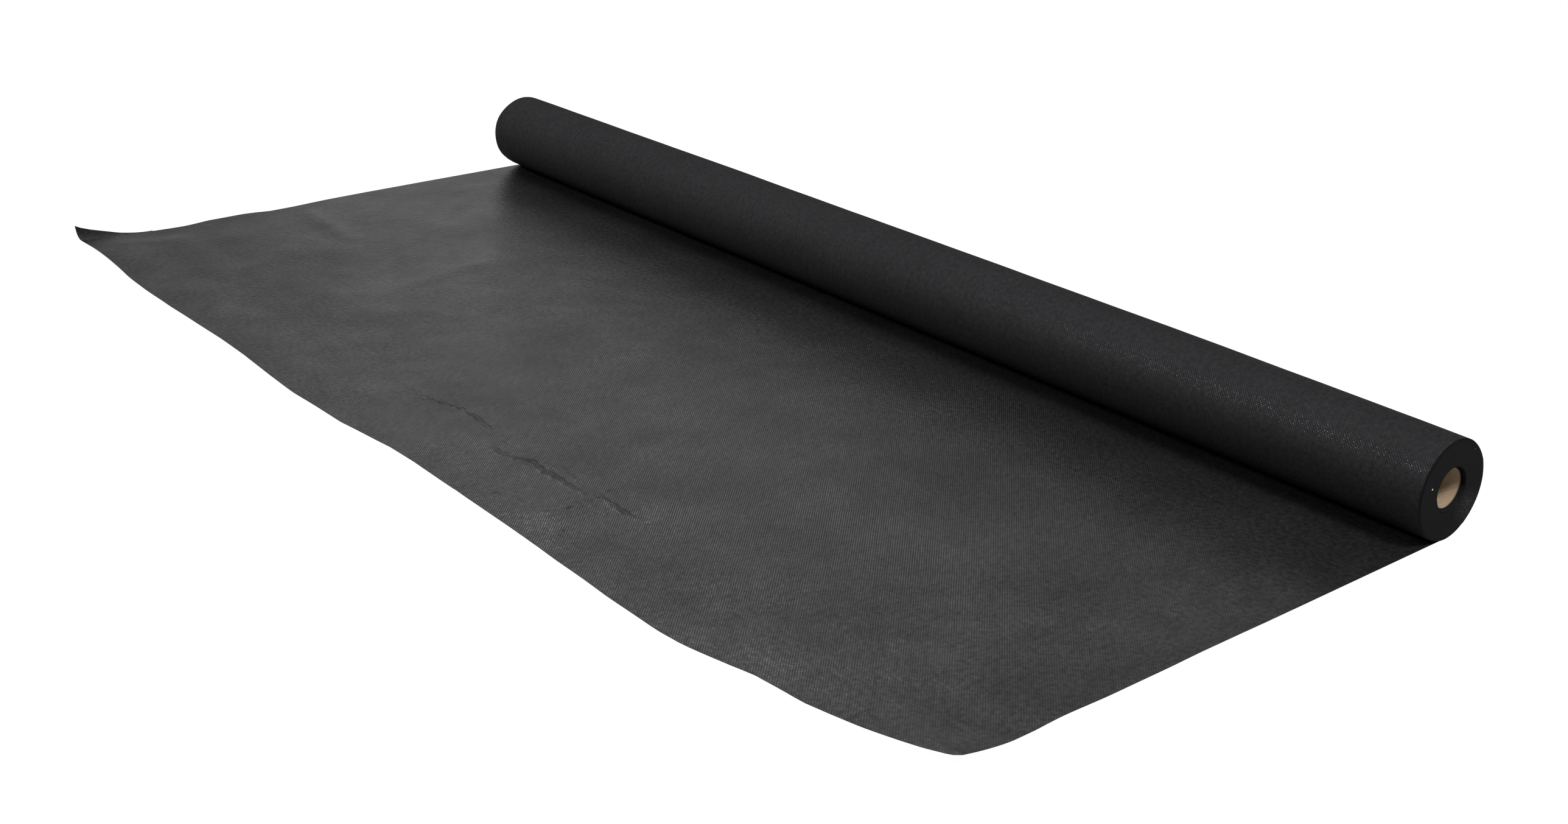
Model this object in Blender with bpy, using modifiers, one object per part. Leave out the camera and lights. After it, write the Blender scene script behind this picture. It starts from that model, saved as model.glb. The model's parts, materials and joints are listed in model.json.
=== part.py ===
"""A roll of weed control fabric, partly rolled out on the ground.

One long web of spunbonded fabric is wound in a spiral round a card tube. Its last stretch
lies flat in front of the roll, with one corner curled up, and passes under the roll and up
its back. The tube lies along Y, and the web is laid out towards +X. The origin is on the
ground under the middle of the tube's axis. Rolled out further, the roll travels towards -X.
"""

import math

import bmesh
import bpy

MM = 0.001

# Web of fabric
WEB_WIDTH = 1500 * MM
WEB_THICKNESS = 0.5 * MM
LEAST_LAYER_GAP = 0.5 * MM
ROLL_DIAMETER = 98.6 * MM
MOST_LOOPS = 24
POINTS_PER_LOOP = 32

# Card tube
TUBE_BORE = 38 * MM
TUBE_WALL = 1.8 * MM
TUBE_SETBACK = 4 * MM
TUBE_SIDES = 48

# Tape that holds the start of the web to the tube
TAPE_WIDTH = 25 * MM
TAPE_THICKNESS = 0.2 * MM
TAPE_MARGIN = 12 * MM
TAPE_STEPS = 10

# Touching pieces keep this gap
SEAT_GAP = 0.3 * MM

# Web under the roll, which lies on the ground and turns up round the roll's back
GROUND_AHEAD = 15 * MM
GROUND_BEHIND = 2 * MM
BACK_WRAP_POINTS = 3
BACK_WRAP_STEPS = 12

# Web laid out in front of the roll
LAID_LENGTH = 655 * MM
STEPS_ALONG = 15
STEPS_ACROSS = 38
CUT_BACK = 46 * MM
CUT_BACK_RUN = 250 * MM
CUT_BACK_POWER = 1.2

# Far corner, curled up, and near corner, lifted a little
CURL_HEIGHT = 23 * MM
CURL_RUN = 90 * MM
CURL_DEPTH = 35 * MM
CURL_POWERS = (1.6, 2.0)
LIFT_HEIGHT = 11 * MM
LIFT_RUN = 55 * MM
LIFT_DEPTH = 90 * MM
LIFT_POWERS = (1.5, 1.5)

# Soft swells where the laid web stands off the ground: the place of each along the laid
# length and across the width from the middle, its reach both ways, and its height
SWELL_HEIGHT = 3 * MM
SWELL_SHARES = (
    (0.85, 0.06, 0.10, 0.17, 0.8),
    (0.74, -0.43, 0.22, 0.07, 1.0),
    (0.93, -0.11, 0.10, 0.06, 0.7),
    (0.92, 0.15, 0.12, 0.04, 0.9),
    (0.45, -0.22, 0.16, 0.11, 0.6),
    (0.55, 0.33, 0.18, 0.12, 0.5),
    (0.90, 0.36, 0.13, 0.05, 0.6),
)

ROLL_RADIUS = ROLL_DIAMETER / 2
HALF_WIDTH = WEB_WIDTH / 2
TUBE_INNER = TUBE_BORE / 2
TUBE_OUTER = TUBE_INNER + TUBE_WALL
HALF_TUBE = HALF_WIDTH - TUBE_SETBACK
TAPE_RADIUS = TUBE_OUTER + SEAT_GAP + TAPE_THICKNESS / 2
FIRST_LOOP_RADIUS = TAPE_RADIUS + TAPE_THICKNESS / 2 + SEAT_GAP + WEB_THICKNESS / 2
LAST_LOOP_RADIUS = ROLL_RADIUS - WEB_THICKNESS - SEAT_GAP - WEB_THICKNESS / 2
LAID_START = GROUND_AHEAD + SEAT_GAP

SMOOTH_ANGLE = math.radians(40)


def clear_scene():
    for old in list(bpy.data.objects):
        bpy.data.objects.remove(old, do_unlink=True)


def make_collection():
    group = bpy.data.collections.new("weed_control_fabric_roll")
    bpy.context.scene.collection.children.link(group)
    return group


def make_material(name, colour, roughness):
    material = bpy.data.materials.new(name)
    material.use_nodes = True
    shader = material.node_tree.nodes["Principled BSDF"]
    shader.inputs["Base Color"].default_value = (*colour, 1)
    shader.inputs["Roughness"].default_value = roughness
    shader.inputs["Metallic"].default_value = 0
    return material


def wound_fabric():
    return make_material("wound_fabric", (0.030, 0.030, 0.033), 0.75)


def laid_fabric():
    return make_material("laid_fabric", (0.052, 0.052, 0.055), 0.85)


def turned_fabric():
    return make_material("turned_fabric", (0.038, 0.038, 0.041), 0.80)


def card():
    return make_material("card", (0.42, 0.32, 0.22), 0.90)


def clear_tape():
    return make_material("tape", (0.62, 0.58, 0.48), 0.45)


def make_empty(name, group, place, parent=None):
    empty = bpy.data.objects.new(name, None)
    empty.location = place
    empty.parent = parent
    group.objects.link(empty)
    return empty


def make_object(name, shape, material, group, parent):
    """The finished bmesh as an object in the collection."""
    mesh = bpy.data.meshes.new(name)
    shape.to_mesh(mesh)
    shape.free()
    mesh.shade_smooth()
    mesh.set_sharp_from_angle(angle=SMOOTH_ANGLE)
    mesh.materials.append(material)
    piece = bpy.data.objects.new(name, mesh)
    piece.parent = parent
    group.objects.link(piece)
    return piece


def thicken(piece, thickness, side):
    """Wall the open surface: side 0 is both ways, 1 is the way its faces point."""
    wall = piece.modifiers.new("thickness", "SOLIDIFY")
    wall.thickness = thickness
    wall.offset = side
    wall.use_even_offset = True
    wall.use_rim = True
    return wall


def sweep_along_y(shape, edges, low, high):
    """Draw the edges out along Y, from low to high."""
    swept = bmesh.ops.extrude_edge_only(shape, edges=edges)
    moved = [item for item in swept["geom"] if isinstance(item, bmesh.types.BMVert)]
    bmesh.ops.translate(shape, verts=moved, vec=(0, high - low, 0))


def ribbon(path, low, high):
    """Open strip whose cross-section in XZ is the path."""
    shape = bmesh.new()
    corners = [shape.verts.new((x, low, z)) for x, z in path]
    edges = [shape.edges.new(pair) for pair in zip(corners, corners[1:])]
    sweep_along_y(shape, edges, low, high)
    return shape


def loop_count():
    room = LAST_LOOP_RADIUS - FIRST_LOOP_RADIUS
    return min(MOST_LOOPS, int(room / (WEB_THICKNESS + LEAST_LAYER_GAP)))


def spiral_path():
    """The web's middle line round the axis, from its start on the tube to its outer end.

    It starts at the bottom, goes up the front, over the top and down the back.
    """
    steps = loop_count() * POINTS_PER_LOOP - BACK_WRAP_POINTS
    rise = (LAST_LOOP_RADIUS - FIRST_LOOP_RADIUS) / steps
    path = []
    for step in range(steps + 1):
        radius = FIRST_LOOP_RADIUS + rise * step
        angle = math.tau * step / POINTS_PER_LOOP
        path.append((radius * math.sin(angle), -radius * math.cos(angle)))
    return path


def distance_to_segment(point, start, end):
    run = (end[0] - start[0], end[1] - start[1])
    reach = (point[0] - start[0], point[1] - start[1])
    share = (run[0] * reach[0] + run[1] * reach[1]) / (run[0] ** 2 + run[1] ** 2)
    share = min(1, max(0, share))
    return math.hypot(reach[0] - run[0] * share, reach[1] - run[1] * share)


def least_layer_gap(path):
    """Least space between one loop's wall and the next, measured point to segment."""
    least = math.inf
    for index in range(len(path) - POINTS_PER_LOOP):
        across = index + POINTS_PER_LOOP
        for start in range(across - 2, min(across + 2, len(path) - 1)):
            gap = distance_to_segment(path[index], path[start], path[start + 1])
            least = min(least, gap - WEB_THICKNESS)
    return least


def make_winding(group, axis):
    path = spiral_path()
    print(f"winding: {loop_count()} loops, least gap {least_layer_gap(path) / MM:.2f} mm")
    shape = ribbon(path, -HALF_WIDTH, HALF_WIDTH)
    thicken(make_object("winding", shape, wound_fabric(), group, axis), WEB_THICKNESS, 0)


def make_core_tube(group, axis):
    shape = bmesh.new()
    middle = TUBE_INNER + TUBE_WALL / 2
    bmesh.ops.create_circle(shape, segments=TUBE_SIDES, radius=middle)
    for corner in shape.verts:
        corner.co = (corner.co.x, -HALF_TUBE, corner.co.y)
    sweep_along_y(shape, list(shape.edges), -HALF_TUBE, HALF_TUBE)
    thicken(make_object("core_tube", shape, card(), group, axis), TUBE_WALL, 0)


def make_start_tape(group, axis):
    """Strip along the tube, under the first loop, where the web starts."""
    path = []
    for step in range(TAPE_STEPS + 1):
        angle = TAPE_WIDTH / TAPE_RADIUS * step / TAPE_STEPS
        path.append((TAPE_RADIUS * math.sin(angle), -TAPE_RADIUS * math.cos(angle)))
    half = HALF_TUBE - TAPE_MARGIN
    shape = ribbon(path, -half, half)
    thicken(make_object("start_tape", shape, clear_tape(), group, axis), TAPE_THICKNESS, 0)


def make_web_under_roll(group, carriage):
    """Web flat on the ground under the roll, then round the roll's back."""
    radius = ROLL_RADIUS - WEB_THICKNESS / 2
    level = WEB_THICKNESS / 2
    lift_off = 2 * math.atan(GROUND_BEHIND / radius)
    wrap = math.tau * BACK_WRAP_POINTS / POINTS_PER_LOOP
    path = [(GROUND_AHEAD, level), (-GROUND_BEHIND, level)]
    for step in range(BACK_WRAP_STEPS + 1):
        angle = lift_off + (wrap - lift_off) * step / BACK_WRAP_STEPS
        path.append((-radius * math.sin(angle), ROLL_RADIUS - radius * math.cos(angle)))
    shape = ribbon(path, -HALF_WIDTH, HALF_WIDTH)
    piece = make_object("web_under_roll", shape, turned_fabric(), group, carriage)
    thicken(piece, WEB_THICKNESS, 0)


def clamp(value):
    return min(1, max(0, value))


def free_edge(across):
    """How far the cut end of the web lies from the roll's axis."""
    share = clamp((across - HALF_WIDTH + CUT_BACK_RUN) / CUT_BACK_RUN)
    return LAID_LENGTH - CUT_BACK * share**CUT_BACK_POWER


def curl_height(along, across):
    """The far corner turns up."""
    share_along = clamp((along - LAID_LENGTH + CURL_RUN) / CURL_RUN)
    share_across = clamp(1 - (across + HALF_WIDTH) / CURL_DEPTH)
    return CURL_HEIGHT * share_along ** CURL_POWERS[0] * share_across ** CURL_POWERS[1]


def lift_height(along, across):
    """The near corner stands a little off the ground."""
    share_along = clamp((along - free_edge(HALF_WIDTH) + LIFT_RUN) / LIFT_RUN)
    share_across = clamp(1 - (HALF_WIDTH - across) / LIFT_DEPTH)
    return LIFT_HEIGHT * share_along ** LIFT_POWERS[0] * share_across ** LIFT_POWERS[1]


def swell_height(along, across):
    """Swells end on the flat, so that most of the web lies on the ground."""
    height = 0
    for place, side, reach_along, reach_across, height_share in SWELL_SHARES:
        near_along = (along / LAID_LENGTH - place) / reach_along
        near_across = (across / WEB_WIDTH - side) / reach_across
        share = max(0, 1 - near_along**2 - near_across**2)
        height += SWELL_HEIGHT * height_share * share**2
    return height


def make_laid_web(group):
    """The laid web's underside, with its rows crowded towards the edges, thickened upwards."""
    shape = bmesh.new()
    bmesh.ops.create_grid(shape, x_segments=STEPS_ALONG, y_segments=STEPS_ACROSS, size=1)
    for corner in shape.verts:
        share_along = math.sin((corner.co.x + 1) / 2 * math.pi / 2)
        across = HALF_WIDTH * math.sin(corner.co.y * math.pi / 2)
        along = LAID_START + (free_edge(across) - LAID_START) * share_along
        height = curl_height(along, across)
        height += lift_height(along, across)
        height += swell_height(along, across)
        corner.co = (along, across, height)
    bmesh.ops.triangulate(shape, faces=shape.faces[:], quad_method="FIXED")
    piece = make_object("laid_web", shape, laid_fabric(), group, None)
    thicken(piece, WEB_THICKNESS, 1)


def build():
    clear_scene()
    group = make_collection()
    carriage = make_empty("ground_line", group, (0, 0, 0))
    axis = make_empty("tube_axis", group, (0, 0, ROLL_RADIUS), carriage)
    make_laid_web(group)
    make_web_under_roll(group, carriage)
    make_winding(group, axis)
    make_core_tube(group, axis)
    make_start_tape(group, axis)


build()
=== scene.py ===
import json
import math
import bpy
import numpy as np
from mathutils import Matrix, Vector

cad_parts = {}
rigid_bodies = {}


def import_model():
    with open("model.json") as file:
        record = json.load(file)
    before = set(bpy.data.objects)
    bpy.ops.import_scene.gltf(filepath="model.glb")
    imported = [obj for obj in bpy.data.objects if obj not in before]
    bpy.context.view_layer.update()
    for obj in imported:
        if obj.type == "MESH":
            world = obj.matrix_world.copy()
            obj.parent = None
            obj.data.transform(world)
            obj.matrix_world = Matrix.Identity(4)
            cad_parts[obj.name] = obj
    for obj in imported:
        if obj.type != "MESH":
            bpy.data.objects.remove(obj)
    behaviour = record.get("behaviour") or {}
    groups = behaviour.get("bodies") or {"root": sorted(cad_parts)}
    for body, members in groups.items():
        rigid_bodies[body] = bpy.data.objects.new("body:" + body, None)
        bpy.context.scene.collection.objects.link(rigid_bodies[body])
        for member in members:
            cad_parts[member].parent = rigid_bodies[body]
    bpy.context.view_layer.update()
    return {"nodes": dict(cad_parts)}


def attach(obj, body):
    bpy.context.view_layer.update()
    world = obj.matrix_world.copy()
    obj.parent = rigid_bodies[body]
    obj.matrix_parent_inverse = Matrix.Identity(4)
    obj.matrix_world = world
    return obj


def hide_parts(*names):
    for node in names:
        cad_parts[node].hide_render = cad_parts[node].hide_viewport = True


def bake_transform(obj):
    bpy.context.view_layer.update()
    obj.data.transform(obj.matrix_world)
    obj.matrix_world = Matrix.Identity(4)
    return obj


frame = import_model()
mm = 0.001
print("frame loaded:", ", ".join(sorted(frame["nodes"])))

# the photograph's view; the place is in mm, the angles in degrees
photoView = {
    "place": (1502.147, 1589.241, 779.641),
    "heading": 229.44697,
    "down": 22.69192,
    "tilt": 1.73606,
    "focalPixels": 3271.376,
    "framePixels": 2576,  # the width of the whole image
    "sensor": 36.0,
    "clipStart": 0.01,
}


def makeCamera(view):
    heading, down, tilt = (math.radians(view[k]) for k in ("heading", "down", "tilt"))
    level = Vector((math.sin(heading), -math.cos(heading), 0))
    floorWay = Vector((math.cos(heading), math.sin(heading), 0))
    ahead = floorWay * math.cos(down) - Vector((0, 0, math.sin(down)))
    above = level.cross(ahead)
    across = level * math.cos(tilt) + above * math.sin(tilt)
    upward = above * math.cos(tilt) - level * math.sin(tilt)
    bpy.ops.object.camera_add()
    camera = bpy.context.object
    camera.name = "photoCamera"
    camera.data.sensor_width = view["sensor"]
    camera.data.lens = view["focalPixels"] * view["sensor"] / view["framePixels"]
    camera.data.clip_start = view["clipStart"]
    axes = Matrix((across, upward, -ahead)).transposed().to_4x4()
    axes.translation = Vector(view["place"]) * mm
    camera.matrix_world = axes
    bpy.context.scene.camera = camera


makeCamera(photoView)
print("camera placed")


# small helpers for meshes and nodes

def clamp(values):
    return np.clip(values, 0, 1)


def ease(values):
    share = clamp(values)
    return share * share * (3 - 2 * share)


def between(values, start, end):
    return ease((values - start) / (end - start))


def steps(*spans):
    # places along a line: each span is (from, to, how many)
    found = [np.linspace(a, b, n, endpoint=False) for a, b, n in spans]
    return np.concatenate(found + [[spans[-1][1]]])


def deselectAll():
    for thing in bpy.context.scene.objects:
        thing.select_set(False)


def gridPiece(name, rows, columns):
    # a flat grid of rows x columns points; returns it with each point's row and column number
    deselectAll()
    bpy.ops.mesh.primitive_grid_add(x_subdivisions=rows - 1, y_subdivisions=columns - 1, size=2)
    piece = bpy.context.object
    piece.name = piece.data.name = name
    place = np.empty(len(piece.data.vertices) * 3)
    piece.data.vertices.foreach_get("co", place)
    place = place.reshape(-1, 3)
    row = np.rint((place[:, 0] + 1) / 2 * (rows - 1)).astype(int)
    column = np.rint((place[:, 1] + 1) / 2 * (columns - 1)).astype(int)
    return piece, row, column


def setPlaces(piece, x, y, z):
    piece.data.vertices.foreach_set("co", (np.stack([x, y, z], 1) * mm).astype(np.float32).ravel())
    piece.data.update()


def setVector(piece, name, x, y):
    made = piece.data.attributes.new(name, "FLOAT_VECTOR", "POINT")
    made.data.foreach_set("vector", (np.stack([x, y, x * 0], 1) * mm).astype(np.float32).ravel())


def applyModifier(piece, kind, **settings):
    deselectAll()
    piece.select_set(True)
    bpy.context.view_layer.objects.active = piece
    modifier = piece.modifiers.new(kind.title(), kind)
    for setting, value in settings.items():
        setattr(modifier, setting, value)
    bpy.ops.object.modifier_apply(modifier=modifier.name)


def smoothShade(piece, angle):
    deselectAll()
    piece.select_set(True)
    bpy.context.view_layer.objects.active = piece
    bpy.ops.object.shade_smooth_by_angle(angle=math.radians(angle))


def newMaterial(name, colour, roughness):
    material = bpy.data.materials.new(name)
    material.use_nodes = True
    material.diffuse_color = (*colour, 1)
    shader = material.node_tree.nodes["Principled BSDF"]
    shader.inputs["Base Color"].default_value = (*colour, 1)
    shader.inputs["Roughness"].default_value = roughness
    return material, shader


def addNode(material, kind, inputs=None, **settings):
    made = material.node_tree.nodes.new("ShaderNode" + kind)
    for setting, value in settings.items():
        setattr(made, setting, value)
    for socket, value in (inputs or {}).items():
        if isinstance(value, bpy.types.NodeSocket):
            material.node_tree.links.new(value, made.inputs[socket])
        else:
            made.inputs[socket].default_value = value
    return made


def link(material, start, end):
    material.node_tree.links.new(start, end)


def mathNode(material, operation, first, second=0.0):
    return addNode(material, "Math", {0: first, 1: second}, operation=operation).outputs[0]


def vectorNode(material, operation, first, second=(0, 0, 0)):
    made = addNode(material, "VectorMath", {0: first}, operation=operation)
    if isinstance(second, bpy.types.NodeSocket):
        link(material, second, made.inputs[1])
    elif operation not in ("LENGTH", "NORMALIZE", "FRACTION", "FLOOR"):
        made.inputs[1].default_value = second
    return made.outputs["Value" if operation == "LENGTH" else "Vector"]


noiseSpan = (0.3, 0.7)  # most of a noise's values lie between these


def noiseNode(material, place, kind, stretch=None):
    scale, detail, roughness = kind
    if stretch:
        place = addNode(material, "Mapping", {"Vector": place, "Scale": stretch}).outputs[0]
    inputs = {"Vector": place, "Scale": scale, "Detail": detail, "Roughness": roughness}
    return addNode(material, "TexNoise", inputs).outputs["Fac"]


def rangeNode(material, value, low, high, newLow, newHigh):
    inputs = {"Value": value, "From Min": low, "From Max": high}
    inputs |= {"To Min": newLow, "To Max": newHigh}
    return addNode(material, "MapRange", inputs).outputs[0]


def mixColour(material, share, first, second):
    made = addNode(material, "Mix", data_type="RGBA")
    for number, value in ((0, share), (6, first), (7, second)):
        if isinstance(value, bpy.types.NodeSocket):
            link(material, value, made.inputs[number])
        else:
            made.inputs[number].default_value = value if number == 0 else (*value, 1)
    return made.outputs[2]


def shaded(material, colour, factor):
    # colour times a grey factor
    grey = addNode(material, "CombineColor", {0: factor, 1: factor, 2: factor}).outputs[0]
    made = addNode(material, "Mix", {0: 1.0}, data_type="RGBA", blend_type="MULTIPLY")
    for number, value in ((6, colour), (7, grey)):
        link(material, value, made.inputs[number])
    return made.outputs[2]


# the bonded fabric: matt spun fibres, pressed together at glossy points on a diagonal lattice

bondedFabric = {
    "fibre": (0.0068, 0.0067, 0.0072),
    "point": (0.146, 0.144, 0.149),
    "repeat": (2.93 * mm, 2.85 * mm),  # of the diagonal lattice of points, along and across
    "sway": 0.5 * mm,  # how far the rows wander
    "swayScale": 160.0,
    "pointRadius": (0.16, 0.34),  # where a point's soft rim ends and starts, in rows
    "pointShape": (1.0, 0.6, 0.0),  # the points are longer one way
    "pointShare": 0.32,  # of the web's face
    # where the points are pressed less sharply: axis of the web, from, to and how sharp at each
    "clear": (
        ("Y", -450 * mm, 60 * mm, 0.15, 1.0),
        ("Y", 280 * mm, 750 * mm, 1.0, 0.25),
        ("X", 420 * mm, 655 * mm, 1.0, 0.65),
    ),
    "fibreRoughness": 0.38,
    "pointRoughness": 0.22,
    "specular": 0.35,
    "filmStart": 0.049,  # how soon a pressed place turns to a film
    "polish": 1.0,
    "edgeTint": (1.0, 1.0, 1.0),
    "glossRange": (0.93, 1.0),
    # as the web turns up, its normal's Z falls from the second to the first of these, and its
    # points fade and its fibres turn matt: painted shade on the creases' steep sides and the curl
    "steep": (0.955, 0.992),
    "steepPoints": 0.3,
    "steepMatt": 0.35,
    "glintTilt": 0.10,  # how unevenly the points catch the light
    "pointDepth": 0.14 * mm,
    "fibreHeight": 0.05 * mm,
    "unevenHeight": 0.09 * mm,
    "grainHeight": 0.60 * mm,
    "unevenGloss": 0.02,
    "cloudRange": (0.76, 1.24),
    "formationRange": (0.84, 1.16),
    "grainRange": (0.60, 1.40),
    "fibreRange": (0.85, 1.15),
    # noises: scale, detail and roughness
    "clouds": (9.0, 3.0, 0.55),
    "formation": (38.0, 4.0, 0.6),
    "fibres": (1100.0, 3.0, 0.7),
    "grain": (190.0, 3.0, 0.6),
    "fibreStretch": (0.35, 1, 1),
}

# the web's other face, outwards on the roll: duller fibres, more polished points
outerFace = {
    **bondedFabric,
    "fibre": (0.0158, 0.0158, 0.0167),
    "point": (0.027, 0.027, 0.0285),
    "fibreRoughness": 1.0,
    "pointRadius": (0.24, 0.44),
    "pointShape": (1.0, 1.0, 0.0),
    "pointShare": 0.36,
    "clear": (("Y", -500 * mm, 600 * mm, 0.2, 1.0),),
    "steep": (-2.0, -1.0),  # never steep
    "pointRoughness": 0.32,
    "specular": 0.04,
    "filmStart": 1.0,
    "polish": 1.4,
    "edgeTint": (0.12, 0.12, 0.12),
    "glossRange": (0.5, 1.0),
    "glintTilt": 0.18,
    "pointDepth": 0.07 * mm,
    "unevenHeight": 0.06 * mm,
    "grainHeight": 0.10 * mm,
    "cloudRange": (0.96, 1.04),
    "formationRange": (0.94, 1.06),
    "grainRange": (0.80, 1.20),
}


def makeFabric(name, look, attribute, useObject):
    material, shader = newMaterial(name, look["fibre"], look["fibreRoughness"])
    shader.inputs["Specular IOR Level"].default_value = look["specular"]
    shader.inputs["Specular Tint"].default_value = (*look["edgeTint"], 1)
    place = addNode(material, "Attribute", attribute_name=attribute).outputs["Vector"]
    if useObject:
        here = addNode(material, "TexCoord").outputs["Object"]
        place = vectorNode(material, "ADD", here, place)
    flat = vectorNode(material, "MULTIPLY", place, (1, 1, 0))

    # the lattice of points, each with its own cell
    wander = {"Vector": flat, "Scale": look["swayScale"], "Detail": 1.0}
    sway = addNode(material, "TexNoise", wander).outputs["Color"]
    sway = vectorNode(material, "SUBTRACT", sway, (0.5, 0.5, 0.5))
    sway = vectorNode(material, "MULTIPLY", sway, (look["sway"], look["sway"], 0))
    swayed = vectorNode(material, "ADD", flat, sway)
    along, across = (math.sqrt(2) / repeat for repeat in look["repeat"])
    turned = {"Vector": swayed, "Rotation": (0, 0, math.radians(45)), "Scale": (along, across, 0)}
    cells = addNode(material, "Mapping", turned).outputs[0]
    inside = vectorNode(material, "FRACTION", cells)
    inside = vectorNode(material, "SUBTRACT", inside, (0.5, 0.5, 0))
    inside = vectorNode(material, "MULTIPLY", inside, look["pointShape"])
    reach = vectorNode(material, "LENGTH", inside)
    chance = addNode(material, "TexWhiteNoise", {"Vector": vectorNode(material, "FLOOR", cells)})

    # how sharply the points are pressed: crisp ones, and a mean shade for the rest
    # where the web turns up steeply its points fade, which paints shade into the creases and the
    # turned-up edge
    normal = addNode(material, "NewGeometry").outputs["True Normal"]
    upright = addNode(material, "SeparateXYZ", {0: normal}).outputs["Z"]
    level = rangeNode(material, upright, *look["steep"], look["steepPoints"], 1.0)
    spread = addNode(material, "SeparateXYZ", {0: place}).outputs
    clear = level
    for axis, *span in look["clear"]:
        clear = mathNode(material, "MULTIPLY", clear, rangeNode(material, spread[axis], *span))
    crisp = rangeNode(material, reach, *look["pointRadius"], 1.0, 0.0)
    crisp = mathNode(material, "MULTIPLY", crisp, clear)
    blurred = mathNode(material, "SUBTRACT", level, clear)
    blurred = mathNode(material, "MULTIPLY", blurred, look["pointShare"])
    points = mathNode(material, "ADD", crisp, blurred)

    clouds = noiseNode(material, flat, look["clouds"])
    formation = noiseNode(material, flat, look["formation"])
    fibres = noiseNode(material, flat, look["fibres"], look["fibreStretch"])
    grain = noiseNode(material, flat, look["grain"])
    colour = mixColour(material, points, look["fibre"], look["point"])
    factor = rangeNode(material, clouds, *noiseSpan, *look["cloudRange"])
    others = ((formation, "formationRange"), (fibres, "fibreRange"), (grain, "grainRange"))
    for noise, span in others:
        varied = rangeNode(material, noise, *noiseSpan, *look[span])
        factor = mathNode(material, "MULTIPLY", factor, varied)
    link(material, shaded(material, colour, factor), shader.inputs["Base Color"])

    shine = rangeNode(material, chance.outputs["Value"], 0.0, 1.0, *look["glossRange"])
    glossy = mathNode(material, "MULTIPLY", points, shine)
    film = mathNode(material, "ADD", glossy, look["filmStart"])
    film = mathNode(material, "DIVIDE", glossy, film)
    film = mathNode(material, "MULTIPLY", film, look["polish"])
    link(material, film, shader.inputs["Metallic"])
    spans = look["fibreRoughness"], look["pointRoughness"]
    roughness = rangeNode(material, glossy, 0.0, 1.0, *spans)
    for noise in (formation, clouds):
        uneven = rangeNode(material, noise, *noiseSpan, look["unevenGloss"], -look["unevenGloss"])
        roughness = mathNode(material, "ADD", roughness, uneven)
    matt = rangeNode(material, level, look["steepPoints"], 1.0, look["steepMatt"], 0.0)
    roughness = mathNode(material, "ADD", roughness, matt)
    link(material, roughness, shader.inputs["Roughness"])

    # relief, from the broadest to the points pressed into it, and each point's own tilt
    pits = mathNode(material, "MULTIPLY", crisp, -1.0)
    relief = (
        (formation, "unevenHeight"), (grain, "grainHeight"), (fibres, "fibreHeight"),
        (pits, "pointDepth"),
    )
    normal = {}
    for shape, depth in relief:
        bump = addNode(material, "Bump", {"Height": shape, "Distance": look[depth], **normal})
        normal = {"Normal": bump.outputs[0]}
    tilt = vectorNode(material, "SUBTRACT", chance.outputs["Color"], (0.5, 0.5, 0.5))
    tilt = vectorNode(material, "MULTIPLY", tilt, (look["glintTilt"],) * 3)
    only = addNode(material, "VectorMath", {0: tilt, "Scale": crisp}, operation="SCALE")
    tipped = vectorNode(material, "ADD", bump.outputs[0], only.outputs[0])
    link(material, vectorNode(material, "NORMALIZE", tipped), shader.inputs["Normal"])
    return material


laidFabric = makeFabric("laidFabric", bondedFabric, "webShift", True)
woundFabric = makeFabric("woundFabric", outerFace, "webPlace", False)

# the roll's ends: cut edges of all the layers, with a rubbed patch, soft rings and painted shade on
# the mouth's upper wall
cutLayers = {
    "colour": (0.0034, 0.0034, 0.0037),
    "sides": (0.0095, 0.0095, 0.0102),  # the layers' faces where they show at the rim and mouth
    "sideFacing": (0.3, 0.7),
    "rubbed": (0.060, 0.060, 0.062),
    "axisHeight": 49.3 * mm,
    "rubPlace": (-0.029, 0.75, 0.025),
    "rubReach": (0.004, 0.020),
    "rubWear": (0.40, 0.80),
    "roughness": 0.9,
    "specular": 0.12,
    "rings": (1400.0, 3.0, 0.7),  # noises: scale, detail and roughness
    "fuzz": (500.0, 4.0, 0.65),
    "ringStretch": 0.012,
    "ringRange": (0.93, 1.07),
    "fuzzRange": (0.85, 1.15),
    "fuzzHeight": 0.15 * mm,
    "fuzzStrength": 0.5,
    "mouth": (745.0 * mm, 749.0 * mm),  # painted shade: the mouth's wall darkens inwards between these
    "mouthPaintedShade": 0.85,
    "paintedShadeUpper": (-3.5 * mm, -2.5 * mm),  # the painted shade is only above this, from the axis, where the mouth's wall faces down
    # light specks: their place, reach and brightness
    "flecks": (
        (0.0320, 0.750, 0.0581, 0.0010, 0.70),
        (-0.0283, 0.750, 0.0815, 0.0004, 0.30),
        (0.0265, 0.750, 0.0159, 0.0004, 0.25),
    ),
    "fleckCore": 0.8,
}


def aroundAxis(material, place, axisHeight):
    # a place as seen from the tube's axis: its parts, its angle and its radius
    fromAxis = vectorNode(material, "SUBTRACT", place, (0, 0, axisHeight))
    parts = addNode(material, "SeparateXYZ", {0: fromAxis}).outputs
    angle = mathNode(material, "ARCTAN2", parts["Z"], parts["X"])
    radius = vectorNode(material, "LENGTH", vectorNode(material, "MULTIPLY", fromAxis, (1, 0, 1)))
    return parts, angle, radius


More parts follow.
